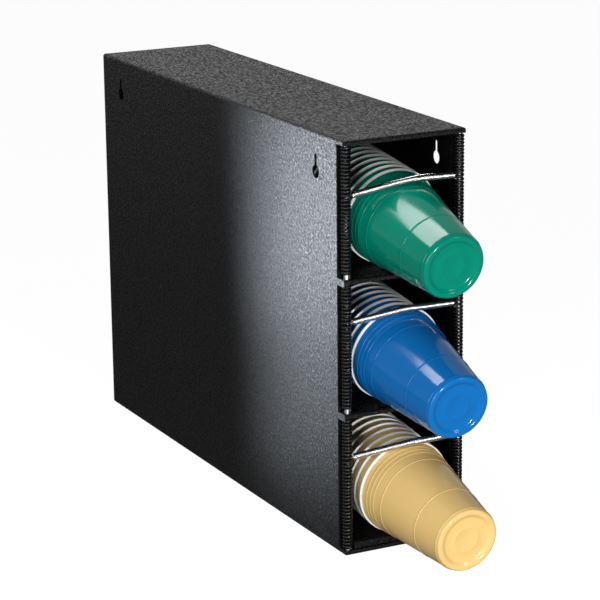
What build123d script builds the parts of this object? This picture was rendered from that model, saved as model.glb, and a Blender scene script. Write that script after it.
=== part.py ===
from build123d import *
import os
from collections import namedtuple
from math import asin, atan, atan2, cos, degrees, pi, radians, sin, sqrt, tan

os.makedirs("parts", exist_ok=True)

# A countertop dispenser for three nested stacks of cups, in millimetres.
# Origin at the centre of the base, X to the right, Y to the back, Z up.

# Cups, and the room round them, which sets the width and height of the case
rim_radius = 47.2
side_room = 17.3
head_room = 32.3
bay_count = 3

# Case, folded from one gauge of sheet
case_depth = 552.0
top_room = 0.9
sheet = 1.5
case_bend = 2.5
lip_height = 4.6
side_setback = 13.8
back_flange = 12.0

# Keyholes for hanging the case by either side
keyhole_radius = 6.4
keyhole_slot = 4.9
keyhole_rise = 14.2
keyhole_drop = 37.2
front_keyhole_setback = 54.0
rear_keyhole_setback = 46.0

# Shelves: a level front rail with a lip, then a ramp that feeds the cups forward
floor_height = 10.5
rail_lip = 4.4
rail_bend = 2.0
rail_flange = 6.6
ramp_angle = 7.0
ramp_flange = 9.0
floor_setback = 4.0
flange_relief = 1.5

# Corner springs, standing between the plates at the two front corners
wire_radius = 0.7
spring_radius = 4.2
spring_turns = 8
spring_inset = 0.2
end_height = 4.3
end_bend = 1.5
peg_gap = 0.9
peg_height = 4.0
shank_radius = 2.0

# Retaining springs, hooked between the corner springs and bent over the cups
band_radius = 2.75
band_wrap_radius = 33.0
band_end_gap = 1.9
hook_radius = 0.6
hook_gap = 0.3
hook_root = 1.5

# Cup body
rim_roll = 1.2
rim_height = 2.4
base_radius = 30.8
cup_length = 119.7
cup_wall = 0.4
base_thickness = 0.8
base_recess = 2.5
foot_width = 2.0
nest_pitch = 11.0
nest_gap = 0.3
stack_cups = 9
seat_gap = 0.8
bead_height = 0.35
bead_width = 1.4
rim_bead_start = 10.0
rim_bead_pitch = 5.2
rim_beads = 3
shoulder_bead = 32.0
waist_bead = 36.0
heel_bead = 4.5

# Each bay: how far back the front rim rests, the share of the play between nested cups
# that tilts them more than the ramp, and the share of the free gap that the front cup sits
# to one side; how far its retaining spring stands in front of the case and over the cup,
# and how far below the top of a level rim each end is hooked
bottom_rim_rest = 10.3
middle_rim_rest = 24.2
top_rim_rest = 33.7
bottom_tilt_share = 0.22
middle_tilt_share = 1.06
top_tilt_share = 1.25
bottom_aside_share = -0.08
middle_aside_share = -0.47
top_aside_share = -0.47
bottom_band_forward = 16.5
middle_band_forward = 7.4
top_band_forward = 17.1
bottom_band_lift = 7.4
middle_band_lift = 6.2
top_band_lift = 7.6
bottom_left_drop = 10.5
middle_left_drop = 8.4
top_left_drop = 17.3
bottom_right_drop = 5.3
middle_right_drop = 3.9
top_right_drop = 9.9

overrun = 5.0

# Worked out from the sizes above
shelf_pitch = 2 * rim_radius + head_room + sheet
case_width = 2 * (rim_radius + side_room)
case_height = floor_height + bay_count * shelf_pitch + top_room
front = -case_depth / 2
back = case_depth / 2
inner_half = case_width / 2 - sheet
setback = front + side_setback
shelf_end = back - back_flange
ramp_rise = (shelf_end - setback) * tan(radians(ramp_angle))
relief_rise = flange_relief * tan(radians(ramp_angle))
lower_top = floor_height + shelf_pitch
upper_top = floor_height + 2 * shelf_pitch
case_top = case_height - sheet
spring_outer = spring_radius + wire_radius
spring_x = case_width / 2 - spring_inset - spring_outer
spring_y = front + spring_inset + spring_outer
peg_radius = spring_radius - wire_radius - peg_gap
band_half = spring_x - spring_outer - band_end_gap
side_gap = spring_x - spring_outer - rim_radius
body_radius = rim_radius - rim_roll
taper = degrees(atan((body_radius - base_radius) / cup_length))
wedge_angle = degrees(asin((cup_wall + nest_gap) / nest_pitch))
nest_play = taper - wedge_angle

Bay = namedtuple("Bay", "name plate ceiling shelf rest tilt aside forward lift left_hook right_hook")
bays = [
    Bay(
        "bottom", sheet, lower_top - sheet, floor_height, bottom_rim_rest,
        ramp_angle + bottom_tilt_share * nest_play,
        bottom_aside_share * side_gap, bottom_band_forward, bottom_band_lift,
        2 * rim_radius - bottom_left_drop, 2 * rim_radius - bottom_right_drop,
    ),
    Bay(
        "middle", lower_top, upper_top - sheet, lower_top, middle_rim_rest,
        ramp_angle + middle_tilt_share * nest_play,
        middle_aside_share * side_gap, middle_band_forward, middle_band_lift,
        2 * rim_radius - middle_left_drop, 2 * rim_radius - middle_right_drop,
    ),
    Bay(
        "top", upper_top, case_top, upper_top, top_rim_rest,
        ramp_angle + top_tilt_share * nest_play,
        top_aside_share * side_gap, top_band_forward, top_band_lift,
        2 * rim_radius - top_left_drop, 2 * rim_radius - top_right_drop,
    ),
]


def front_rim(bay):
    """The centre of the front cup's rim, whose lowest point rests on the bay's shelf."""
    on_ramp = max(bay.rest - side_setback, 0) * tan(radians(ramp_angle))
    tilt = radians(bay.tilt)
    rest_z = bay.shelf + on_ramp + seat_gap
    return Vector(bay.aside, front + bay.rest - rim_radius * sin(tilt), rest_z + rim_radius * cos(tilt))


def cup_plane(bay, centre):
    """Local Y runs from the rim to the base, along the tilted axis of the cup."""
    tilt = radians(bay.tilt)
    return Plane(origin=centre, x_dir=(1, 0, 0), z_dir=(0, sin(tilt), -cos(tilt)))


def stack_rims(bay):
    """Rim centres of the cups behind the front one, stepping up the ramp."""
    first = radians(max(ramp_angle, bay.tilt - nest_play))
    rim = front_rim(bay) + Vector(0, cos(first), sin(first)) * nest_pitch
    step = Vector(0, cos(radians(ramp_angle)), sin(radians(ramp_angle))) * nest_pitch
    return [rim + step * number for number in range(stack_cups)]


def body_at(length):
    """Outer radius of a cup at a length from its rim."""
    return body_radius - length * tan(radians(taper))


def hook_bend(bay):
    """From the middle of a hook's wire to that of the turn it grips, which slopes there."""
    pitch = (bay.ceiling - bay.plate - 2 * end_height) / spring_turns
    return (wire_radius + hook_radius + hook_gap) / cos(atan(pitch / (2 * pi * spring_radius)))


def biarc(start, end, start_way, end_way):
    """Two arcs that run from one point and direction to another."""
    across = end - start
    ways = start_way + end_way
    square = ways.dot(ways) - 4
    reach = (across.dot(ways) - sqrt(across.dot(ways) ** 2 - square * across.dot(across))) / square
    knee_in = start + start_way * reach
    knee_out = end - end_way * reach
    middle = (knee_in + knee_out) / 2
    TangentArc([start, middle], tangent=start_way)
    TangentArc([middle, end], tangent=knee_out - knee_in)


# Case: top, base and sides in one, with the sides set back behind the corner springs
with BuildPart() as case_wrap:
    with BuildSketch(Plane.XY) as footprint:
        Rectangle(case_width, case_depth)
    extrude(amount=case_height)
    rear_edges = case_wrap.edges().filter_by_position(Axis.Y, back, back)
    fillet([edge for edge in case_wrap.edges() if edge not in rear_edges], case_bend)
    with BuildSketch(Plane(origin=(0, back + overrun, 0), x_dir=(1, 0, 0), z_dir=(0, -1, 0))) as bore:
        with Locations((0, case_height / 2)):
            RectangleRounded(2 * inner_half, case_height - 2 * sheet, case_bend - sheet)
    extrude(amount=case_depth + overrun - sheet, mode=Mode.SUBTRACT)
    with BuildSketch(Plane.YZ) as mouth:
        with Locations((front - overrun, lip_height)):
            Rectangle(side_setback + overrun, case_height - 2 * lip_height, align=Align.MIN)
    extrude(amount=case_width / 2 + overrun, both=True, mode=Mode.SUBTRACT)
    with BuildSketch(Plane.YZ) as keyholes:
        for place in (front + front_keyhole_setback, back - rear_keyhole_setback):
            with Locations((place, case_height - keyhole_drop)):
                Circle(keyhole_radius)
            with Locations((place, case_height - keyhole_drop + keyhole_rise / 2)):
                SlotCenterToCenter(keyhole_rise, keyhole_slot, rotation=90)
    extrude(amount=case_width / 2 + overrun, both=True, mode=Mode.SUBTRACT)

# Back: a pan let into the rear of the case
with BuildPart() as back_panel:
    rear = Plane(origin=(0, shelf_end, 0), x_dir=(-1, 0, 0), z_dir=(0, 1, 0))
    with BuildSketch(rear) as pan:
        with Locations((0, case_height / 2)):
            RectangleRounded(2 * inner_half, case_height - 2 * sheet, case_bend - sheet)
    extrude(amount=back_flange)
    with BuildSketch(rear.offset(sheet)) as hollow:
        with Locations((0, case_height / 2)):
            Rectangle(2 * (inner_half - sheet), case_height - 4 * sheet)
    extrude(amount=back_flange, mode=Mode.SUBTRACT)

# Floor: a ramp on the base, narrower in front so that it stands between the springs
with BuildPart() as floor_shelf:
    with BuildSketch(Plane.YZ) as side_view:
        with BuildLine() as outline:
            Polyline(
                (front + floor_setback, sheet),
                (front + floor_setback, floor_height),
                (setback, floor_height),
                (shelf_end, floor_height + ramp_rise),
                (shelf_end, floor_height + ramp_rise - sheet),
                (setback, floor_height - sheet),
                (front + floor_setback + sheet, floor_height - sheet),
                (front + floor_setback + sheet, sheet),
                close=True,
            )
        make_face()
    extrude(amount=inner_half, both=True)
    nose = floor_shelf.edges().filter_by(Axis.X).group_by(Axis.Y)[0].sort_by(Axis.Z)[-1]
    fillet(nose, rail_bend)
    with BuildSketch(Plane.XY) as corners:
        for side in (-1, 1):
            with Locations((side * (inner_half + spring_x - spring_outer - flange_relief) / 2, front)):
                Rectangle(
                    inner_half - spring_x + spring_outer + flange_relief,
                    2 * (side_setback + flange_relief),
                )
    extrude(amount=floor_height + overrun, mode=Mode.SUBTRACT)
    for side in (-1, 1):
        wall = Plane(origin=(side * inner_half, 0, 0), x_dir=(0, 1, 0), z_dir=(1, 0, 0))
        with BuildSketch(wall) as flange:
            with BuildLine() as outline:
                Polyline(
                    (setback + flange_relief, floor_height + relief_rise - sheet),
                    (shelf_end, floor_height + ramp_rise - sheet),
                    (shelf_end, case_bend),
                    (setback + flange_relief, case_bend),
                    close=True,
                )
            make_face()
        extrude(amount=-side * sheet)

# Front rails: the full-width level strips that lap over the ends of the sides
rails = {}
for rail_name, top in (("lower_rail", lower_top), ("upper_rail", upper_top)):
    with BuildPart() as rail:
        with BuildSketch(Plane.YZ) as side_view:
            with BuildLine() as outline:
                Polyline(
                    (front, top - rail_lip),
                    (front, top),
                    (setback, top),
                    (setback, top - sheet),
                    (front + sheet, top - sheet),
                    (front + sheet, top - rail_lip),
                    close=True,
                )
            make_face()
        extrude(amount=case_width / 2, both=True)
        for side in (-1, 1):
            cheek = Plane(origin=(side * case_width / 2, 0, 0), x_dir=(0, 1, 0), z_dir=(1, 0, 0))
            with BuildSketch(cheek) as flange:
                with Locations((front, top - rail_flange)):
                    Rectangle(side_setback, rail_flange, align=Align.MIN)
            extrude(amount=-side * sheet)
        nose = rail.edges().filter_by(Axis.X).group_by(Axis.Y)[0].sort_by(Axis.Z)[-1]
        fillet(nose, rail_bend)
        with BuildSketch(Plane.XY.offset(top - sheet)) as peg_holes:
            with Locations((-spring_x, spring_y), (spring_x, spring_y)):
                Circle(shank_radius)
        extrude(amount=sheet, mode=Mode.SUBTRACT)
    rail.part.label = rail_name
    rails[rail_name] = rail.part

# Upper shelves: ramps between the sides, with a flange down each side
shelves = {}
for shelf_name, top in (("lower_shelf", lower_top), ("upper_shelf", upper_top)):
    with BuildPart() as shelf:
        with BuildSketch(Plane.YZ) as side_view:
            with BuildLine() as outline:
                Polyline(
                    (setback, top),
                    (shelf_end, top + ramp_rise),
                    (shelf_end, top + ramp_rise - sheet),
                    (setback, top - sheet),
                    close=True,
                )
            make_face()
        extrude(amount=inner_half, both=True)
        for side in (-1, 1):
            wall = Plane(origin=(side * inner_half, 0, 0), x_dir=(0, 1, 0), z_dir=(1, 0, 0))
            with BuildSketch(wall) as flange:
                with BuildLine() as outline:
                    Polyline(
                        (setback + flange_relief, top + relief_rise - sheet),
                        (shelf_end, top + ramp_rise - sheet),
                        (shelf_end, top + ramp_rise - ramp_flange),
                        (setback + flange_relief, top + relief_rise - ramp_flange),
                        close=True,
                    )
                make_face()
            extrude(amount=-side * sheet)
    shelf.part.label = shelf_name
    shelves[shelf_name] = shelf.part

# Pegs that hold the ends of the corner springs
with BuildPart() as base_pegs:
    with BuildSketch(Plane.XY.offset(sheet)) as feet:
        with Locations((-spring_x, spring_y), (spring_x, spring_y)):
            Circle(peg_radius)
    extrude(amount=peg_height)

with BuildPart() as top_pegs:
    with BuildSketch(Plane.XY.offset(case_top - peg_height)) as heads:
        with Locations((-spring_x, spring_y), (spring_x, spring_y)):
            Circle(peg_radius)
    extrude(amount=peg_height)

rail_pegs = {}
for rail_name, top in (("lower_rail", lower_top), ("upper_rail", upper_top)):
    with BuildPart() as pegs:
        with BuildSketch(Plane.XY.offset(top)) as above:
            with Locations((-spring_x, spring_y), (spring_x, spring_y)):
                Circle(peg_radius)
        extrude(amount=peg_height)
        with BuildSketch(Plane.XY.offset(top - sheet - peg_height)) as below:
            with Locations((-spring_x, spring_y), (spring_x, spring_y)):
                Circle(peg_radius)
        extrude(amount=peg_height)
        with BuildSketch(Plane.XY.offset(top - sheet)) as shanks:
            with Locations((-spring_x, spring_y), (spring_x, spring_y)):
                Circle(shank_radius)
        extrude(amount=sheet)
    pegs.part.label = rail_name + "_pegs"
    rail_pegs[pegs.part.label] = pegs.part

# Corner springs: the turns below and above a hook's grip are spaced so that one passes it
springs = {}
for bay in bays:
    low = bay.plate + end_height
    high = bay.ceiling - end_height
    for side, inward, hook in ((-1, 0, bay.left_hook), (1, pi, bay.right_hook)):
        grip = bay.shelf + hook - hook_bend(bay)
        turns_below = round(spring_turns * (grip - low) / (high - low))
        rises = [(grip - low) / turns_below / 2] * 2 * turns_below
        rises += [(high - grip) / (spring_turns - turns_below) / 2] * 2 * (spring_turns - turns_below)
        places = []
        ways = []
        height = low
        for half in range(2 * spring_turns + 1):
            angle = inward + pi * half
            pitch = rises[max(half - 1, 0)] + rises[min(half, 2 * spring_turns - 1)]
            slope = atan(pitch / (2 * pi * spring_radius))
            places.append(Vector(
                side * spring_x + spring_radius * cos(angle), spring_y + spring_radius * sin(angle), height,
            ))
            ways.append(Vector(-sin(angle) * cos(slope), cos(angle) * cos(slope), sin(slope)))
            height += rises[min(half, 2 * spring_turns - 1)]
        turn_in = Vector(ways[0].X, ways[0].Y, 0).normalized() * end_bend * (1 - ways[0].Z)
        turn_out = Vector(ways[-1].X, ways[-1].Y, 0).normalized() * end_bend * (1 - ways[-1].Z)
        foot_top = places[0] - turn_in - Vector(0, 0, end_bend * sqrt(1 - ways[0].Z ** 2))
        head_bottom = places[-1] + turn_out + Vector(0, 0, end_bend * sqrt(1 - ways[-1].Z ** 2))
        foot = Vector(foot_top.X, foot_top.Y, bay.plate)
        head = Vector(head_bottom.X, head_bottom.Y, bay.ceiling)
        with BuildPart() as spring:
            with BuildLine() as path:
                Line(foot, foot_top)
                TangentArc([foot_top, places[0]], tangent=(0, 0, 1))
                for half in range(2 * spring_turns):
                    biarc(places[half], places[half + 1], ways[half], ways[half + 1])
                TangentArc([places[-1], head_bottom], tangent=ways[-1])
                Line(head_bottom, head)
            with BuildSketch(Plane(origin=foot, z_dir=(0, 0, 1))) as wire:
                Circle(wire_radius)
            sweep()
        spring_name = bay.name + ("_left_spring" if side < 0 else "_right_spring")
        spring.part.label = spring_name
        springs[spring_name] = spring.part
        steps = 24
        samples = []
        for step in range(2 * steps):
            angle = 2 * pi * step / steps
            climb = 2 * min(rises) * step / steps
            samples.append(Vector(spring_radius * cos(angle), spring_radius * sin(angle), climb))
        least = min((sample - samples[0]).length for sample in samples[steps // 2:])
        print(spring_name, "least gap to itself", round(least - 2 * wire_radius, 2))

# Retaining springs: close-wound, so each is one smooth bar, with a hook at each end
bands = {}
for bay in bays:
    tilt = radians(bay.tilt)
    rim = front_rim(bay)
    crest = rim + Vector(0, -sin(tilt), cos(tilt)) * body_radius
    apex_y = front - bay.forward
    apex_z = crest.Z + (apex_y - crest.Y) * tan(radians(bay.tilt + taper)) + bay.lift
    left = Vector(-band_half, spring_y, bay.shelf + bay.left_hook)
    right = Vector(band_half, spring_y, bay.shelf + bay.right_hook)
    apex = Vector(bay.aside, apex_y, apex_z)
    up = (apex - left).normalized()
    down = (right - apex).normalized()
    half_turn = up.get_angle(down) / 2
    cut = band_wrap_radius * tan(radians(half_turn))
    bisector = (down - up).normalized()
    crown = apex + bisector * band_wrap_radius * (1 / cos(radians(half_turn)) - 1)
    bend = hook_bend(bay)
    grip_x = spring_x - spring_radius
    with BuildPart() as band:
        with BuildLine() as bar:
            Line(left, apex - up * cut)
            ThreePointArc(apex - up * cut, crown, apex + down * cut)
            Line(apex + down * cut, right)
        with BuildSketch(Plane(origin=left, z_dir=up)) as section:
            Circle(band_radius)
        sweep()
        for side, end in ((-1, left), (1, right)):
            root = Vector(end.X - side * hook_root, spring_y, end.Z)
            over = Vector(side * grip_x, spring_y, end.Z)
            behind = over + Vector(side * bend, 0, -bend)
            under = over - Vector(0, 0, 2 * bend)
            tip = under - Vector(side * 2 * hook_radius, 0, 0)
            with BuildLine() as hook:
                Line(root, over)
                ThreePointArc(over, behind, under)
                Line(under, tip)
            with BuildSketch(Plane(origin=root, z_dir=(side, 0, 0))) as hook_wire:
                Circle(hook_radius)
            sweep()
    band.part.label = bay.name + "_retaining_spring"
    bands[band.part.label] = band.part

# Front cups: beads round the body, a rolled rim and a recessed base
front_cups = {}
for bay in bays:
    plane = cup_plane(bay, front_rim(bay))
    beads = [rim_bead_start + number * rim_bead_pitch for number in range(rim_beads)]
    beads += [shoulder_bead, cup_length - waist_bead, cup_length - heel_bead]
    with BuildPart() as cup:
        with BuildSketch(plane) as profile:
            with BuildLine() as outline:
                ThreePointArc(
                    (body_radius, 0),
                    (rim_radius, rim_height / 2),
                    (body_at(rim_height), rim_height),
                )
                wall_points = [(body_at(rim_height), rim_height)]
                for bead in beads:
                    wall_points.append((body_at(bead - bead_width / 2), bead - bead_width / 2))
                    wall_points.append((body_at(bead) + bead_height, bead))
                    wall_points.append((body_at(bead + bead_width / 2), bead + bead_width / 2))
                wall_points.append((base_radius, cup_length))
                Polyline(*wall_points)
                Polyline(
                    (base_radius, cup_length),
                    (base_radius - foot_width, cup_length),
                    (base_radius - foot_width, cup_length - base_recess),
                    (0, cup_length - base_recess),
                    (0, cup_length - base_recess - base_thickness),
                    (body_at(cup_length - base_recess - base_thickness) - foot_width - cup_wall,
                     cup_length - base_recess - base_thickness),
                    (body_at(cup_length - base_recess - 2 * base_thickness - foot_width) - cup_wall,
                     cup_length - base_recess - 2 * base_thickness - foot_width),
                    (body_radius - cup_wall, 0),
                    (body_radius, 0),
                )
            make_face()
        revolve(axis=Axis(plane.origin, plane.y_dir))
    cup.part.label = bay.name + "_front_cup"
    front_cups[cup.part.label] = cup.part

# Stacks: plain cups, each nested in the one before and a pitch further up the ramp
stacks = {}
for bay in bays:
    with BuildPart() as stack:
        for centre in stack_rims(bay):
            plane = cup_plane(bay, centre)
            with BuildSketch(plane) as profile:
                with BuildLine() as outline:
                    Polyline(
                        (body_radius - cup_wall, 0),
                        (rim_radius, 0),
                        (rim_radius, rim_height),
                        (body_at(rim_height), rim_height),
                        (base_radius, cup_length),
                        (0, cup_length),
                        (0, cup_length - base_thickness),
                        (body_at(cup_length - base_thickness) - cup_wall, cup_length - base_thickness),
                        close=True,
                    )
                make_face()
            revolve(axis=Axis(plane.origin, plane.y_dir))
    stack.part.label = bay.name + "_cup_stack"
    stacks[stack.part.label] = stack.part

case_wrap.part.label = "case_wrap"
back_panel.part.label = "back_panel"
floor_shelf.part.label = "floor_shelf"
base_pegs.part.label = "base_pegs"
top_pegs.part.label = "top_pegs"

export_step(case_wrap.part, "parts/case_wrap.step")
export_step(back_panel.part, "parts/back_panel.step")
export_step(floor_shelf.part, "parts/floor_shelf.step")
export_step(base_pegs.part, "parts/base_pegs.step")
export_step(top_pegs.part, "parts/top_pegs.step")
for group in (rails, shelves, rail_pegs, springs, bands, front_cups, stacks):
    for node_name, solid in group.items():
        export_step(solid, "parts/" + node_name + ".step")
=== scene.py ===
from collections import namedtuple
from math import asin, atan, ceil, cos, pi, radians, sin, tan

import bpy
import numpy as np
from mathutils import Matrix, Vector


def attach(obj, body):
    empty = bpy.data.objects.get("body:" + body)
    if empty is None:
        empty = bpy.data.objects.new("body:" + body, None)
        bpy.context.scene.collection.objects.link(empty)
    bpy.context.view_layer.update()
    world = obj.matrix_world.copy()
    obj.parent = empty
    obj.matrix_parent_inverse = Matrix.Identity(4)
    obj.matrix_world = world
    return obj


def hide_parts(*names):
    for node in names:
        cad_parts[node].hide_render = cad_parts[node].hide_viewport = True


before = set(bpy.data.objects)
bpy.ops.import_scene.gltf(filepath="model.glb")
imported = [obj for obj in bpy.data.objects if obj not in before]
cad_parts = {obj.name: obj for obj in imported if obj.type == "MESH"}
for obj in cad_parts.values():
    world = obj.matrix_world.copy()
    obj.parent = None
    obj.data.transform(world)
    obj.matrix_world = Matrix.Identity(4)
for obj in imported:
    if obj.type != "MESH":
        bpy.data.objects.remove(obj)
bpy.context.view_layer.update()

# Lengths are real sizes in millimetres times MM, since the frame is in metres.
# Origin at the centre of the base, X to the right, Y to the back, Z up.
MM = 0.001

# Cups, sized as in the part's source, with finer forms that are the scene's own
RIM_RADIUS = 47.2 * MM
RIM_ROLL = 1.2 * MM
WHITE_EDGE = 3.3 * MM
INNER_LIP = 0.4 * MM
LIP_EDGE = 0.2 * MM
BASE_RADIUS = 30.8 * MM
CUP_LENGTH = 119.7 * MM
CUP_WALL = 0.4 * MM
NEST_PITCH = 11.0 * MM
NEST_GAP = 0.3 * MM
STACK_CUPS = 9
SEAT_GAP = 0.8 * MM
RIM_BEADS = (10.0 * MM, 15.2 * MM, 20.4 * MM)
SHOULDER_BEAD = 32.0 * MM
WAIST_BEAD = 83.7 * MM
HEEL_BEAD = 115.2 * MM
BEAD_HEIGHT = 0.35 * MM
BEAD_WIDTH = 1.6 * MM
BEAD_MARGIN = 0.4 * MM
FOOT_ROUNDING = 2.2 * MM
FOOT_WIDTH = 4.0 * MM
RECESS_DEPTH = 2.5 * MM
RECESS_SLOPE = 5.0 * MM
PLAIN_RING = 12.0 * MM
PLAIN_RING_WIDTH = 1.6 * MM
PLAIN_RING_HEIGHT = 0.16 * MM
PLAIN_RING_SHARES = ((0.5, 0), (0.25, 0.75), (0, 1), (-0.25, 0.75), (-0.5, 0))
FLOOR_WALL = 0.8 * MM
INNER_FLOOR_INSET = 6.0 * MM
INNER_CORNER = 4.0 * MM
INNER_WAIST = 60.0 * MM
STACK_FLOOR_WALL = 1.2 * MM
STACK_BEAD_HEIGHT = 0.2 * MM
FRONT_CUP_SIDES = 128
STACK_CUP_SIDES = 96
INNER_STEPS = 4
FOOT_STEPS = 6
SLOPE_STEPS = 8

# Case and ramps, as in the part's source
SIDE_ROOM = 17.3 * MM
HEAD_ROOM = 32.3 * MM
SHEET = 1.5 * MM
CASE_DEPTH = 552.0 * MM
TOP_ROOM = 0.9 * MM
FLOOR_HEIGHT = 10.5 * MM
SIDE_SETBACK = 13.8 * MM
RAMP_ANGLE = radians(7.0)

# The scene's own trim: the returns' width, and the rounding along the edges of the sheets and pegs
RETURN_WIDTH = 7.0 * MM
SHEET_EDGE = 0.25 * MM
PEG_EDGE = 0.15 * MM

# Corner springs: many more turns than the solids have, of a thicker wire at the same outer size
SPRING_WIRE = 1.38 * MM
SPRING_RADIUS = 3.52 * MM
SPRING_INSET = 0.2 * MM
SPRING_PITCH = 3.3 * MM
GRIP_PITCH = 4.1 * MM
END_HEIGHT = 4.3 * MM
SPRING_STEPS = 14
SPRING_SIDES = 8

# Retaining springs, close-wound, a little fuller than the solids and raised by the added radius
BAND_RADIUS = 3.4 * MM
BAND_RAISE = 0.65 * MM
BAND_WIRE = 0.35 * MM
BAND_PITCH = 0.72 * MM
BAND_WRAP_RADIUS = 33.0 * MM
BAND_END_GAP = 1.9 * MM
HOOK_RADIUS = 0.6 * MM
HOOK_GAP = 0.05 * MM
HOOK_ROOT = 1.5 * MM
BAND_SPACING = 1.0 * MM
BAND_STEPS = 14
BAND_SIDES = 6
HOOK_SIDES = 10
HOOK_SHANK_STEPS = 6
HOOK_BEND_STEPS = 12

# Worked out from the sizes above
FRONT = -CASE_DEPTH / 2
SHELF_PITCH = 2 * RIM_RADIUS + HEAD_ROOM + SHEET
CASE_HALF = RIM_RADIUS + SIDE_ROOM
LOWER_TOP = FLOOR_HEIGHT + SHELF_PITCH
UPPER_TOP = FLOOR_HEIGHT + 2 * SHELF_PITCH
CASE_TOP = FLOOR_HEIGHT + 3 * SHELF_PITCH + TOP_ROOM - SHEET
SPRING_OUTER = SPRING_RADIUS + SPRING_WIRE
SPRING_X = CASE_HALF - SPRING_INSET - SPRING_OUTER
SPRING_Y = FRONT + SPRING_INSET + SPRING_OUTER
SIDE_GAP = SPRING_X - SPRING_OUTER - RIM_RADIUS
BAND_HALF = SPRING_X - SPRING_OUTER - BAND_END_GAP
HOOK_BEND = SPRING_WIRE + HOOK_RADIUS + HOOK_GAP
BODY_RADIUS = RIM_RADIUS - RIM_ROLL
TAPER = atan((BODY_RADIUS - BASE_RADIUS) / CUP_LENGTH)
NEST_PLAY = TAPER - asin((CUP_WALL + NEST_GAP) / NEST_PITCH)

# Each bay: its plates and shelf, how far back the front rim rests, the shares for tilt and
# sideways place, the retaining spring's reach, lift and ends, and the colour of the cups
Bay = namedtuple("Bay", "name plate ceiling shelf rest tilt_share aside_share "
                        "forward lift left_drop right_drop colour")
BAYS = (
    Bay("bottom", SHEET, LOWER_TOP - SHEET, FLOOR_HEIGHT, 10.3 * MM, 0.22, -0.08,
        16.5 * MM, 7.4 * MM, 10.5 * MM, 5.3 * MM, "yellow"),
    Bay("middle", LOWER_TOP, UPPER_TOP - SHEET, LOWER_TOP, 24.2 * MM, 1.06, -0.47,
        7.4 * MM, 6.2 * MM, 8.4 * MM, 3.9 * MM, "blue"),
    Bay("top", UPPER_TOP, CASE_TOP, UPPER_TOP, 33.7 * MM, 1.25, -0.47,
        17.1 * MM, 7.6 * MM, 17.3 * MM, 9.9 * MM, "green"),
)


def hook_height(bay, drop):
    """The height of a retaining spring's end."""
    return bay.shelf + 2 * RIM_RADIUS - drop + BAND_RAISE


def body_at(length):
    """Outer radius of a cup at a length from its rim."""
    return BODY_RADIUS - length * tan(TAPER)


def cup_tilt(bay):
    """The tilt of a bay's cups: the ramp's, and a share of the play between nested cups."""
    return RAMP_ANGLE + bay.tilt_share * NEST_PLAY


def front_rim(bay):
    """The centre of the front cup's rim, whose lowest point rests on the bay's shelf."""
    on_ramp = max(bay.rest - SIDE_SETBACK, 0) * tan(RAMP_ANGLE)
    tilt = cup_tilt(bay)
    height = bay.shelf + on_ramp + SEAT_GAP + RIM_RADIUS * cos(tilt)
    return Vector((bay.aside_share * SIDE_GAP, FRONT + bay.rest - RIM_RADIUS * sin(tilt), height))


def stack_rims(bay):
    """Rim centres of the cups behind the front one, stepping up the ramp."""
    first = max(RAMP_ANGLE, cup_tilt(bay) - NEST_PLAY)
    rim = front_rim(bay) + Vector((0, cos(first), sin(first))) * NEST_PITCH
    step = Vector((0, cos(RAMP_ANGLE), sin(RAMP_ANGLE))) * NEST_PITCH
    return [rim + step * number for number in range(STACK_CUPS)]


# Mesh builders; a radius below TINY is a point on the axis
TINY = 1e-9


def add_mesh(name, vertices, faces, materials, sharp_angle=40):
    """A smooth-shaded object in the scene."""
    mesh = bpy.data.meshes.new(name)
    mesh.from_pydata([tuple(v) for v in vertices], [], faces)
    for material in materials:
        mesh.materials.append(material)
    mesh.shade_smooth()
    mesh.set_sharp_from_angle(angle=radians(sharp_angle))
    obj = bpy.data.objects.new(name, mesh)
    bpy.context.scene.collection.objects.link(obj)
    return obj


def revolve(name, profile, paints, centre, tilt, sides, materials, sharp_angle=40):
    """Turns a profile of (radius, distance from the rim) pairs about a cup's axis.

    paints gives the material number of each stretch between two points of the profile."""
    axis = np.array([0, -cos(tilt), -sin(tilt)])
    across = np.array([1.0, 0, 0])
    upright = np.array([0, -sin(tilt), cos(tilt)])
    turn = np.linspace(0, 2 * pi, sides, endpoint=False)
    spokes = np.outer(np.cos(turn), across) + np.outer(np.sin(turn), upright)
    vertices = []
    starts = []
    for radius, distance in profile:
        starts.append(len(vertices))
        middle = np.array(centre) + axis * distance
        if radius < TINY:
            vertices.append(middle)
        else:
            vertices.extend(middle + spokes * radius)
    faces = []
    numbers = []
    for stretch, paint in enumerate(paints):
        here, there = starts[stretch], starts[stretch + 1]
        tip_here = profile[stretch][0] < TINY
        tip_there = profile[stretch + 1][0] < TINY
        for side in range(sides):
            after = (side + 1) % sides
            if tip_here:
                faces.append((here, there + after, there + side))
            elif tip_there:
                faces.append((here + side, here + after, there))
            else:
                faces.append((here + side, here + after, there + after, there + side))
            numbers.append(paint)
    obj = add_mesh(name, vertices, faces, materials, sharp_angle)
    obj.data.polygons.foreach_set("material_index", numbers)
    return obj


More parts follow.
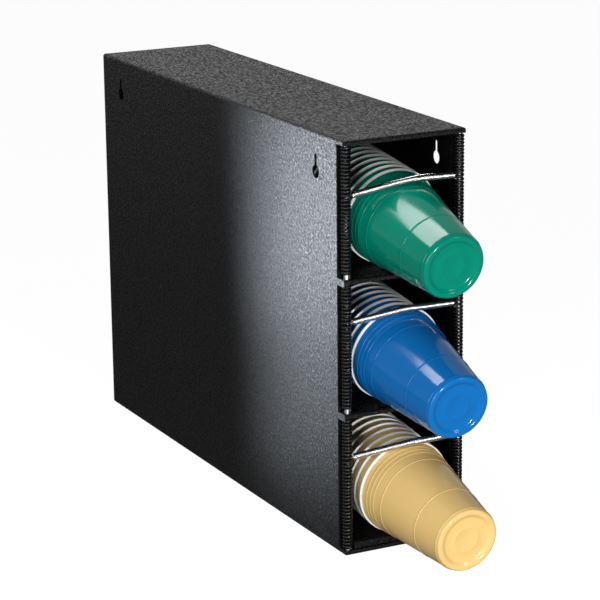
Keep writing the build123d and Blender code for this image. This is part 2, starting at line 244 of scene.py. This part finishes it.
def tube(name, line, radius, sides, material):
    """A round tube along a line of points, with flat ends."""
    line = np.array(line, float)
    ways = np.gradient(line, axis=0)
    ways /= np.linalg.norm(ways, axis=1)[:, None]
    guide = np.array([0.0, 0, 1.0]) if abs(ways[0][2]) < 0.9 else np.array([1.0, 0, 0])
    out = np.cross(ways[0], guide)
    out /= np.linalg.norm(out)
    turn = np.linspace(0, 2 * pi, sides, endpoint=False)
    vertices = []
    for place, way in zip(line, ways):
        out = out - way * out.dot(way)
        out /= np.linalg.norm(out)
        over = np.cross(way, out)
        vertices.extend(place + radius * (np.outer(np.cos(turn), out) + np.outer(np.sin(turn), over)))
    faces = []
    for ring in range(len(line) - 1):
        for side in range(sides):
            after = (side + 1) % sides
            here = ring * sides
            faces.append((here + side, here + after, here + sides + after, here + sides + side))
    faces.append(tuple(range(sides))[::-1])
    faces.append(tuple(range((len(line) - 1) * sides, len(line) * sides)))
    return add_mesh(name, vertices, faces, [material], sharp_angle=60)


# Colours, as linear values, each with its deeper or paler neighbour
COAT_DARK = (0.002, 0.002, 0.0022)
COAT_PALE = (0.007, 0.007, 0.0075)
ENAMEL_DARK = (0.003, 0.003, 0.0033)
ENAMEL_PALE = (0.007, 0.007, 0.0075)
STEEL_COLOUR = (0.86, 0.85, 0.84)
ZINC_COLOUR = (0.6, 0.61, 0.63)
DULL_SHARE = 0.86
WHITE_PAINT = ((0.83, 0.84, 0.83), (0.77, 0.78, 0.77))
CUP_PAINTS = {
    "yellow": ((0.82, 0.57, 0.22), (0.77, 0.52, 0.19)),
    "blue": ((0.005, 0.15, 0.47), (0.005, 0.135, 0.42)),
    "green": ((0.0, 0.225, 0.15), (0.0, 0.2, 0.13)),
}

# Textures: how many waves to the metre, and how deep their bumps are
GRAIN_WAVES = 520
GRAIN_DEPTH = 0.75 * MM
SPECK_WAVES = 420
SPECK_DEPTH = 0.6 * MM
SPECK_STRETCH = (1, 0.7, 1)
MOTTLE_WAVES = 900
MOTTLE_DEPTH = 0.1 * MM
MARK_WAVES = 500
MARK_DEPTH = 0.1 * MM
MARK_STRETCH = (0.15, 1, 1)
CLOUD_WAVES = 28
CLOUD_DEPTH = 0.6 * MM
FINE_WAVES = 260
FINE_DEPTH = 0.1 * MM

# Roughness from the glossiest spot to the dullest, and the span of the noise that it is spread over
COAT_ROUGHNESS = (0.2, 0.62)
ENAMEL_ROUGHNESS = (0.16, 0.28)
STEEL_ROUGHNESS = (0.16, 0.3)
ZINC_ROUGHNESS = (0.3, 0.45)
CUP_ROUGHNESS = (0.09, 0.14)
SPECK_SPAN = (0.36, 0.64)
GRAIN_SPAN = (0.35, 0.65)


# Materials

def new_material(name):
    """A node material, with its shader and a helper that adds nodes."""
    material = bpy.data.materials.new(name)
    material.use_nodes = True
    tree = material.node_tree
    return material, tree, tree.nodes["Principled BSDF"]


def set_shader(shader, **values):
    """Sets the shader's own sockets: roughness=0.4 sets Roughness, and so on."""
    for word, value in values.items():
        shader.inputs[word.replace("_", " ").title().replace("Ior", "IOR")].default_value = value


def noise(tree, scale, detail=2.0, roughness=0.5, stretch=(1, 1, 1)):
    """A noise texture in the object's own coordinates, which are the row frame's."""
    place = tree.nodes.new("ShaderNodeTexCoord")
    mapping = tree.nodes.new("ShaderNodeMapping")
    mapping.inputs["Scale"].default_value = stretch
    texture = tree.nodes.new("ShaderNodeTexNoise")
    texture.inputs["Scale"].default_value = scale
    texture.inputs["Detail"].default_value = detail
    texture.inputs["Roughness"].default_value = roughness
    tree.links.new(place.outputs["Object"], mapping.inputs["Vector"])
    tree.links.new(mapping.outputs["Vector"], texture.inputs["Vector"])
    return texture.outputs["Fac"]


def remap(tree, value, low, high, start=0.0, end=1.0):
    """Takes a value from the span start to end into the span low to high."""
    node = tree.nodes.new("ShaderNodeMapRange")
    node.inputs["From Min"].default_value = start
    node.inputs["From Max"].default_value = end
    node.inputs["To Min"].default_value = low
    node.inputs["To Max"].default_value = high
    tree.links.new(value, node.inputs["Value"])
    return node.outputs["Result"]


def blend_colours(tree, factor, first, second):
    """Mixes two colours by a factor."""
    node = tree.nodes.new("ShaderNodeMix")
    node.data_type = "RGBA"
    tree.links.new(factor, node.inputs["Factor"])
    node.inputs["A"].default_value = (*first, 1)
    node.inputs["B"].default_value = (*second, 1)
    return node.outputs["Result"]


def bump(tree, shader, height, distance, strength, under=None):
    """A bump on the shader's normal; under is a bump that it adds to."""
    node = tree.nodes.new("ShaderNodeBump")
    node.inputs["Strength"].default_value = strength
    node.inputs["Distance"].default_value = distance
    tree.links.new(height, node.inputs["Height"])
    if under is not None:
        tree.links.new(under.outputs["Normal"], node.inputs["Normal"])
    tree.links.new(node.outputs["Normal"], shader.inputs["Normal"])
    return node


def powder_coat():
    """Black powder coat with a fine pebbled texture."""
    material, tree, shader = new_material("case_coat")
    grain = noise(tree, GRAIN_WAVES, detail=3.0, roughness=0.7)
    speck = noise(tree, SPECK_WAVES, detail=1.0, roughness=0.6, stretch=SPECK_STRETCH)
    colour = blend_colours(tree, remap(tree, grain, 0, 1, *GRAIN_SPAN), COAT_DARK, COAT_PALE)
    tree.links.new(colour, shader.inputs["Base Color"])
    roughness = remap(tree, speck, *COAT_ROUGHNESS, *SPECK_SPAN)
    tree.links.new(roughness, shader.inputs["Roughness"])
    set_shader(shader, specular_ior_level=0.15)
    pebbles = bump(tree, shader, grain, GRAIN_DEPTH, strength=1.0)
    bump(tree, shader, speck, SPECK_DEPTH, strength=0.8, under=pebbles)
    return material


def spring_coat():
    """Black enamel on spring wire."""
    material, tree, shader = new_material("spring_black")
    mottle = noise(tree, MOTTLE_WAVES)
    colour = blend_colours(tree, mottle, ENAMEL_DARK, ENAMEL_PALE)
    tree.links.new(colour, shader.inputs["Base Color"])
    tree.links.new(remap(tree, mottle, *ENAMEL_ROUGHNESS), shader.inputs["Roughness"])
    set_shader(shader, specular_ior_level=0.4)
    bump(tree, shader, mottle, MOTTLE_DEPTH, strength=0.1)
    return material


def bright_wire(name, colour, roughness):
    """Drawn or plated wire, with fine marks."""
    material, tree, shader = new_material(name)
    marks = noise(tree, MARK_WAVES, detail=3.0, roughness=0.6, stretch=MARK_STRETCH)
    dull = tuple(channel * DULL_SHARE for channel in colour)
    tree.links.new(blend_colours(tree, marks, dull, colour), shader.inputs["Base Color"])
    tree.links.new(remap(tree, marks, *roughness), shader.inputs["Roughness"])
    set_shader(shader, metallic=1.0)
    bump(tree, shader, marks, MARK_DEPTH, strength=0.08)
    return material


def cup_plastic(name, colour, deep):
    """Glossy moulded plastic, a little uneven, as thin cups are."""
    material, tree, shader = new_material(name)
    cloud = noise(tree, CLOUD_WAVES)
    fine = noise(tree, FINE_WAVES)
    tree.links.new(blend_colours(tree, cloud, deep, colour), shader.inputs["Base Color"])
    tree.links.new(remap(tree, fine, *CUP_ROUGHNESS), shader.inputs["Roughness"])
    set_shader(shader, specular_ior_level=0.32)
    waves = bump(tree, shader, cloud, CLOUD_DEPTH, strength=0.012)
    bump(tree, shader, fine, FINE_DEPTH, strength=0.02, under=waves)
    return material


CASE_COAT = powder_coat()
SPRING_BLACK = spring_coat()
BAND_STEEL = bright_wire("spring_bright", STEEL_COLOUR, STEEL_ROUGHNESS)
PEG_ZINC = bright_wire("peg_zinc", ZINC_COLOUR, ZINC_ROUGHNESS)
CUP_WHITE = cup_plastic("cup_white", *WHITE_PAINT)
CUP_COLOURS = {word: cup_plastic("cup_" + word, *paint) for word, paint in CUP_PAINTS.items()}


# CAD nodes that show as they are: edges turn sharp or are rounded above these angles
SHARP_ABOVE = radians(30)
ROUND_ABOVE = radians(40)


def dress(node, material, edge):
    """Gives a CAD node its material, smooth shading and a fine rounding along its edges."""
    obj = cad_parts[node]
    obj.data.materials.clear()
    obj.data.materials.append(material)
    obj.data.shade_smooth()
    obj.data.set_sharp_from_angle(angle=SHARP_ABOVE)
    if edge:
        rounding = obj.modifiers.new("edge", "BEVEL")
        rounding.width = edge
        rounding.segments = 2
        rounding.limit_method = "ANGLE"
        rounding.angle_limit = ROUND_ABOVE
        rounding.harden_normals = True
    return obj


SHEET_NODES = (
    "case_wrap", "back_panel", "floor_shelf", "lower_shelf", "upper_shelf", "lower_rail", "upper_rail",
)
PEG_NODES = ("base_pegs", "lower_rail_pegs", "upper_rail_pegs", "top_pegs")
for node in SHEET_NODES:
    dress(node, CASE_COAT, SHEET_EDGE)
for node in PEG_NODES:
    dress(node, PEG_ZINC, PEG_EDGE)


# Narrow returns on the sides' front edges, which close the gap beside the corner springs
for bay in BAYS:
    for side, word in ((-1, "left"), (1, "right")):
        outer = side * (CASE_HALF - SHEET)
        inner = side * (CASE_HALF - SHEET - RETURN_WIDTH)
        near = FRONT + SIDE_SETBACK
        corners = [
            (x, y, z) for z in (bay.plate, bay.ceiling) for y in (near, near + SHEET) for x in (outer, inner)
        ]
        faces = [(0, 1, 3, 2), (4, 6, 7, 5), (0, 4, 5, 1), (2, 3, 7, 6), (0, 2, 6, 4), (1, 5, 7, 3)]
        strip = add_mesh(bay.name + "_" + word + "_return", corners, faces, [CASE_COAT])
        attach(strip, "case")


# Cups

def bead(middle, height=BEAD_HEIGHT, width=BEAD_WIDTH, steps=6):
    """Profile points of a soft ring round the body, with one just before it and one after."""
    before = middle - width / 2 - BEAD_MARGIN
    after = middle + width / 2 + BEAD_MARGIN
    points = [(body_at(before), before)]
    for step in range(steps + 1):
        share = step / steps
        distance = middle + (share - 0.5) * width
        points.append((body_at(distance) + height * (0.5 - 0.5 * cos(2 * pi * share)), distance))
    return points + [(body_at(after), after)]


def rim_points(steps=8):
    """The rolled rim, from the inside round to where the white ends on the body."""
    points = [(BODY_RADIUS - CUP_WALL, INNER_LIP), (BODY_RADIUS - LIP_EDGE, 0)]
    for step in range(steps + 1):
        turn = pi * step / steps
        points.append((BODY_RADIUS + RIM_ROLL * sin(turn), RIM_ROLL * (1 - cos(turn))))
    return points + [(body_at(WHITE_EDGE), WHITE_EDGE)]


def front_cup_profile():
    """From the middle of the floor inside, up over the rim and down to the middle of the base."""
    floor = CUP_LENGTH - RECESS_DEPTH - FLOOR_WALL
    floor_edge = BASE_RADIUS - INNER_FLOOR_INSET
    inside = [(0, floor), (floor_edge, floor)]
    for step in range(INNER_STEPS + 1):
        turn = pi / 2 * step / INNER_STEPS
        inside.append((floor_edge + INNER_CORNER * sin(turn), floor - INNER_CORNER * (1 - cos(turn))))
    inside.append((body_at(INNER_WAIST) - CUP_WALL, INNER_WAIST))
    outside = []
    for middle in (*RIM_BEADS, SHOULDER_BEAD, WAIST_BEAD, HEEL_BEAD):
        outside.extend(bead(middle))
    for step in range(FOOT_STEPS + 1):
        turn = pi / 2 * step / FOOT_STEPS
        outside.append((
            BASE_RADIUS - FOOT_ROUNDING * (1 - cos(turn)),
            CUP_LENGTH - FOOT_ROUNDING * (1 - sin(turn)),
        ))
    lip = BASE_RADIUS - FOOT_WIDTH
    for step in range(SLOPE_STEPS + 1):
        share = step / SLOPE_STEPS
        drop = RECESS_DEPTH * (0.5 - 0.5 * cos(pi * share))
        outside.append((lip - RECESS_SLOPE * share, CUP_LENGTH - drop))
    disc = CUP_LENGTH - RECESS_DEPTH
    for width_share, height_share in PLAIN_RING_SHARES:
        outside.append((PLAIN_RING + PLAIN_RING_WIDTH * width_share, disc + PLAIN_RING_HEIGHT * height_share))
    outside.append((0, disc))
    rim = rim_points()
    paints = [0] * (len(inside) + len(rim) - 1) + [1] * len(outside)
    return inside + rim + outside, paints


def stack_cup_profile():
    """A nested cup: the same rim and upper body, with the beads that show."""
    floor = CUP_LENGTH - STACK_FLOOR_WALL
    inside = [(0, floor), (body_at(floor) - 2 * CUP_WALL, floor)]
    inside.append((body_at(INNER_WAIST) - CUP_WALL, INNER_WAIST))
    outside = []
    for middle in RIM_BEADS:
        outside.extend(bead(middle, height=STACK_BEAD_HEIGHT, steps=4))
    outside += [(BASE_RADIUS, CUP_LENGTH), (0, CUP_LENGTH)]
    rim = rim_points(6)
    paints = [0] * (len(inside) + len(rim) - 1) + [1] * len(outside)
    return inside + rim + outside, paints


front_profile, front_paints = front_cup_profile()
stack_profile, stack_paints = stack_cup_profile()
for bay in BAYS:
    paint_pots = [CUP_WHITE, CUP_COLOURS[bay.colour]]
    tilt = cup_tilt(bay)
    name = bay.name + "_front_cup_skin"
    cup = revolve(name, front_profile, front_paints, front_rim(bay), tilt, FRONT_CUP_SIDES, paint_pots)
    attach(cup, bay.name + "_cup")
    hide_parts(bay.name + "_front_cup")
    for number, centre in enumerate(stack_rims(bay), 1):
        name = bay.name + "_stack_cup_" + str(number)
        cup = revolve(name, stack_profile, stack_paints, centre, tilt, STACK_CUP_SIDES, paint_pots)
        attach(cup, bay.name + "_stack")
        if number == 1:
            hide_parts(bay.name + "_cup_stack")


# Corner springs

def coil_line(side, low, high, grip, steps=SPRING_STEPS):
    """A helix with straight legs at its inner side; the turns open a little where a hook grips."""
    inward = 0 if side < 0 else pi
    start = low + END_HEIGHT
    stop = high - END_HEIGHT
    under = grip - GRIP_PITCH - start
    over = stop - GRIP_PITCH - grip
    below = round(under / SPRING_PITCH)
    above = round(over / SPRING_PITCH)
    rises = [under / below / steps] * below * steps
    rises += [GRIP_PITCH / steps] * 2 * steps
    rises += [over / above / steps] * above * steps
    inner_x = side * (SPRING_X - SPRING_RADIUS)
    line = [(inner_x, SPRING_Y, low), (inner_x, SPRING_Y, low + END_HEIGHT / 2)]
    height = start
    for step, rise in enumerate(rises + [0]):
        angle = inward + 2 * pi * step / steps
        x = side * SPRING_X + SPRING_RADIUS * cos(angle)
        y = SPRING_Y + SPRING_RADIUS * sin(angle)
        line.append((x, y, height))
        height += rise
    return line + [(inner_x, SPRING_Y, high - END_HEIGHT / 2), (inner_x, SPRING_Y, high)]


for bay in BAYS:
    for side, word, drop in ((-1, "left", bay.left_drop), (1, "right", bay.right_drop)):
        node = bay.name + "_" + word + "_spring"
        grip = hook_height(bay, drop) - HOOK_BEND
        line = coil_line(side, bay.plate, bay.ceiling, grip)
        coil = tube(node + "_coil", line, SPRING_WIRE, SPRING_SIDES, SPRING_BLACK)
        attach(coil, "case")
        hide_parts(node)


# Retaining springs

def band_line(bay, spacing):
    """Points along the middle of a retaining spring: straight, round the crown, straight."""
    tilt = cup_tilt(bay)
    rim = front_rim(bay)
    crest = rim + Vector((0, -sin(tilt), cos(tilt))) * BODY_RADIUS
    apex_y = FRONT - bay.forward
    apex_z = crest.z + (apex_y - crest.y) * tan(tilt + TAPER) + bay.lift + BAND_RAISE
    left = Vector((-BAND_HALF, SPRING_Y, hook_height(bay, bay.left_drop)))
    right = Vector((BAND_HALF, SPRING_Y, hook_height(bay, bay.right_drop)))
    apex = Vector((bay.aside_share * SIDE_GAP, apex_y, apex_z))
    up = (apex - left).normalized()
    down = (right - apex).normalized()
    half_turn = up.angle(down) / 2
    cut = BAND_WRAP_RADIUS * tan(half_turn)
    inward = (down - up).normalized()
    middle = apex + inward * (BAND_WRAP_RADIUS / cos(half_turn))
    points = []
    start = apex - up * cut
    for step in range(ceil((start - left).length / spacing)):
        points.append(left + up * spacing * step)
    outward = -inward
    along = (up + down).normalized()
    steps = ceil(2 * half_turn * BAND_WRAP_RADIUS / spacing)
    for step in range(steps + 1):
        angle = -half_turn + 2 * half_turn * step / steps
        points.append(middle + (outward * cos(angle) + along * sin(angle)) * BAND_WRAP_RADIUS)
    end = apex + down * cut
    steps = ceil((right - end).length / spacing)
    for step in range(1, steps + 1):
        points.append(end + (right - end) * step / steps)
    return points


def wind(line, radius, pitch, steps):
    """Turns a line into the line of a coil wound round it."""
    line = np.array([tuple(point) for point in line], float)
    gaps = np.linalg.norm(np.diff(line, axis=0), axis=1)
    run = np.concatenate([[0], np.cumsum(gaps)])
    count = int(run[-1] / pitch * steps)
    places = np.linspace(0, run[-1], count)
    core = np.stack([np.interp(places, run, line[:, axis]) for axis in range(3)], 1)
    ways = np.gradient(core, axis=0)
    ways /= np.linalg.norm(ways, axis=1)[:, None]
    side = np.cross(ways, np.array([0, 1.0, 0]))
    side /= np.linalg.norm(side, axis=1)[:, None]
    over = np.cross(ways, side)
    angle = (2 * pi * places / pitch)[:, None]
    return core + radius * (np.cos(angle) * side + np.sin(angle) * over)


def hook_line(side, end):
    """A hook's wire: out of the coil, round a turn of the corner spring and back."""
    grip = side * (SPRING_X - SPRING_RADIUS)
    root = end.x - side * HOOK_ROOT
    points = []
    for step in range(HOOK_SHANK_STEPS):
        points.append((root + (grip - root) * step / HOOK_SHANK_STEPS, end.y, end.z))
    for step in range(HOOK_BEND_STEPS + 1):
        turn = pi * step / HOOK_BEND_STEPS
        points.append((grip + side * HOOK_BEND * sin(turn), end.y, end.z - HOOK_BEND * (1 - cos(turn))))
    points.append((grip - side * 2 * HOOK_RADIUS, end.y, end.z - 2 * HOOK_BEND))
    return points


for bay in BAYS:
    node = bay.name + "_retaining_spring"
    line = band_line(bay, BAND_SPACING)
    wound = wind(line, BAND_RADIUS - BAND_WIRE, BAND_PITCH, BAND_STEPS)
    coil = tube(node + "_coil", wound, BAND_WIRE, BAND_SIDES, BAND_STEEL)
    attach(coil, "case")
    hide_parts(node)
    for side, end, word in ((-1, line[0], "left"), (1, line[-1], "right")):
        hook = tube(node + "_" + word + "_hook", hook_line(side, end), HOOK_RADIUS, HOOK_SIDES, BAND_STEEL)
        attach(hook, "case")


# Camera, at the photograph's angle
CAMERA_PLACE = Vector((-1.0902, -2.1938, 0.8391))
CAMERA_AZIMUTH = radians(-27.08)
CAMERA_ELEVATION = radians(15.17)
CAMERA_ROLL = radians(-0.613)
CAMERA_LENS = 148.4


def aim(obj, place, back, roll=0.0):
    """Puts a camera or lamp at a place, looking along minus back."""
    back = back.normalized()
    right = Vector((0, 0, 1)).cross(back).normalized()
    upright = back.cross(right)
    turned_right = right * cos(roll) + upright * sin(roll)
    turned_up = upright * cos(roll) - right * sin(roll)
    turn = Matrix((turned_right, turned_up, back)).transposed().to_4x4()
    obj.matrix_world = Matrix.Translation(place) @ turn


camera = bpy.data.objects.new("camera", bpy.data.cameras.new("camera"))
bpy.context.scene.collection.objects.link(camera)
camera.data.lens = CAMERA_LENS
camera.data.sensor_width = 36.0
camera.data.clip_end = 50.0
camera_back = Vector((
    sin(CAMERA_AZIMUTH) * cos(CAMERA_ELEVATION),
    -cos(CAMERA_AZIMUTH) * cos(CAMERA_ELEVATION),
    sin(CAMERA_ELEVATION),
))
aim(camera, CAMERA_PLACE, camera_back, CAMERA_ROLL)
bpy.context.scene.camera = camera


# Floor, world and lamps: places and sizes in metres, angles in degrees, power in watts
FLOOR_SIZE = 8.0
FLOOR_TONE = 0.2
FLOOR_GLOW = 0.95
FLOOR_GLOSS = 0.05
AMBIENT = 0.1
STUDIO_FRONT = 0.12
BEHIND_GLOSS = (-0.35, 0.95)
ABOVE_GLOSS = (0.0, 0.25)
ABOVE_SPAN = (0.4, 0.8)
WHITE_LIGHT = (1, 1, 1)
COOL_LIGHT = (0.84, 0.91, 1.0)
WIDE = 180
NARROW = 100
Lamp = namedtuple("Lamp", "name place target width height watts colour spread roll",
                  defaults=(WHITE_LIGHT, WIDE, 0))
ROOM_LAMPS = (
    Lamp("overhead", (-0.1535, -0.1397, 0.71), (-0.1535, -0.1407, 0.3),
         width=0.52, height=0.085, watts=1.55, roll=-11.5),
    Lamp("key", (-0.15, -2.2, 0.15), (0, -0.3, 0.2), width=0.2, height=0.15, watts=30),
    Lamp("high", (0.95, -2.1, 0.95), (0, -0.3, 0.22), width=0.4, height=0.4, watts=4),
    Lamp("left_fill", (-1.7, -1.3, 0.45), (0, -0.33, 0.15), width=1.5, height=1.2, watts=27),
)
SHEEN_LAMPS = (
    Lamp("sheen", (-0.201, -0.005, 0.27), (-0.0645, -0.262, 0.3),
         width=0.08, height=0.22, watts=0.48, colour=COOL_LIGHT, spread=NARROW),
    Lamp("low_sheen", (-0.201, -0.005, 0.23), (-0.0645, -0.262, 0.26),
         width=0.08, height=0.44, watts=0.5, colour=COOL_LIGHT, spread=NARROW),
)


def math_node(tree, operation, first, second):
    """One step of arithmetic on a socket and a number or another socket."""
    node = tree.nodes.new("ShaderNodeMath")
    node.operation = operation
    tree.links.new(first, node.inputs[0])
    if isinstance(second, (int, float)):
        node.inputs[1].default_value = second
    else:
        tree.links.new(second, node.inputs[1])
    return node.outputs[0]


def pale_floor(size, tone, glow, gloss):
    """A plain floor that shows white and keeps the object's shadow; gloss is its share in reflections."""
    half = size / 2
    corners = [(-half, -half, 0), (half, -half, 0), (half, half, 0), (-half, half, 0)]
    material, tree, shader = new_material("floor")
    paths = tree.nodes.new("ShaderNodeLightPath")
    seen = math_node(tree, "MAXIMUM", paths.outputs["Is Camera Ray"], paths.outputs["Is Transmission Ray"])
    mirrored = math_node(tree, "MULTIPLY", paths.outputs["Is Glossy Ray"], gloss)
    seen = math_node(tree, "MAXIMUM", seen, mirrored)
    set_shader(shader, base_color=(tone, tone, tone, 1), roughness=0.9, specular_ior_level=0.0)
    set_shader(shader, emission_color=(1, 1, 1, 1))
    tree.links.new(math_node(tree, "MULTIPLY", seen, glow), shader.inputs["Emission Strength"])
    add_mesh("floor", corners, [(0, 1, 2, 3)], [material])


def studio_world(ambient, front):
    """White to the eye, an even light on the object, and a dim studio in front for its gloss."""
    world = bpy.data.worlds.new("studio")
    bpy.context.scene.world = world
    world.use_nodes = True
    tree = world.node_tree
    paths = tree.nodes.new("ShaderNodeLightPath")
    place = tree.nodes.new("ShaderNodeTexCoord")
    axes = tree.nodes.new("ShaderNodeSeparateXYZ")
    tree.links.new(place.outputs["Generated"], axes.inputs["Vector"])
    behind = remap(tree, axes.outputs["Y"], *BEHIND_GLOSS, front, 1.0)
    above = remap(tree, axes.outputs["Z"], *ABOVE_GLOSS, *ABOVE_SPAN)
    around = math_node(tree, "ADD", behind, above)
    gloss = math_node(tree, "MULTIPLY", paths.outputs["Is Glossy Ray"], around)
    seen = math_node(tree, "MAXIMUM", paths.outputs["Is Camera Ray"], paths.outputs["Is Transmission Ray"])
    seen = math_node(tree, "MAXIMUM", seen, gloss)
    background = tree.nodes["Background"]
    background.inputs["Color"].default_value = (1, 1, 1, 1)
    even = math_node(tree, "MULTIPLY", paths.outputs["Is Diffuse Ray"], ambient)
    lit = math_node(tree, "MAXIMUM", seen, even)
    tree.links.new(lit, background.inputs["Strength"])


def soft_lamp(lamp):
    """A soft box that looks at its target and isn't seen itself."""
    data = bpy.data.lights.new(lamp.name, "AREA")
    data.shape = "RECTANGLE"
    data.size = lamp.width
    data.size_y = lamp.height
    data.energy = lamp.watts
    data.color = lamp.colour
    data.spread = radians(lamp.spread)
    box = bpy.data.objects.new(lamp.name, data)
    bpy.context.scene.collection.objects.link(box)
    aim(box, Vector(lamp.place), Vector(lamp.place) - Vector(lamp.target), radians(lamp.roll))
    box.visible_camera = False
    return box


pale_floor(FLOOR_SIZE, FLOOR_TONE, FLOOR_GLOW, FLOOR_GLOSS)
studio_world(AMBIENT, STUDIO_FRONT)
for lamp in ROOM_LAMPS:
    soft_lamp(lamp)

# The sheen lamps light the sheet pieces alone, so that the cups don't mirror them
sheet_pieces = bpy.data.collections.new("lit_by_sheen")
for node in SHEET_NODES:
    sheet_pieces.objects.link(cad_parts[node])
for lamp in SHEEN_LAMPS:
    soft_lamp(lamp).light_linking.receiver_collection = sheet_pieces

bpy.context.scene.view_settings.view_transform = "Standard"
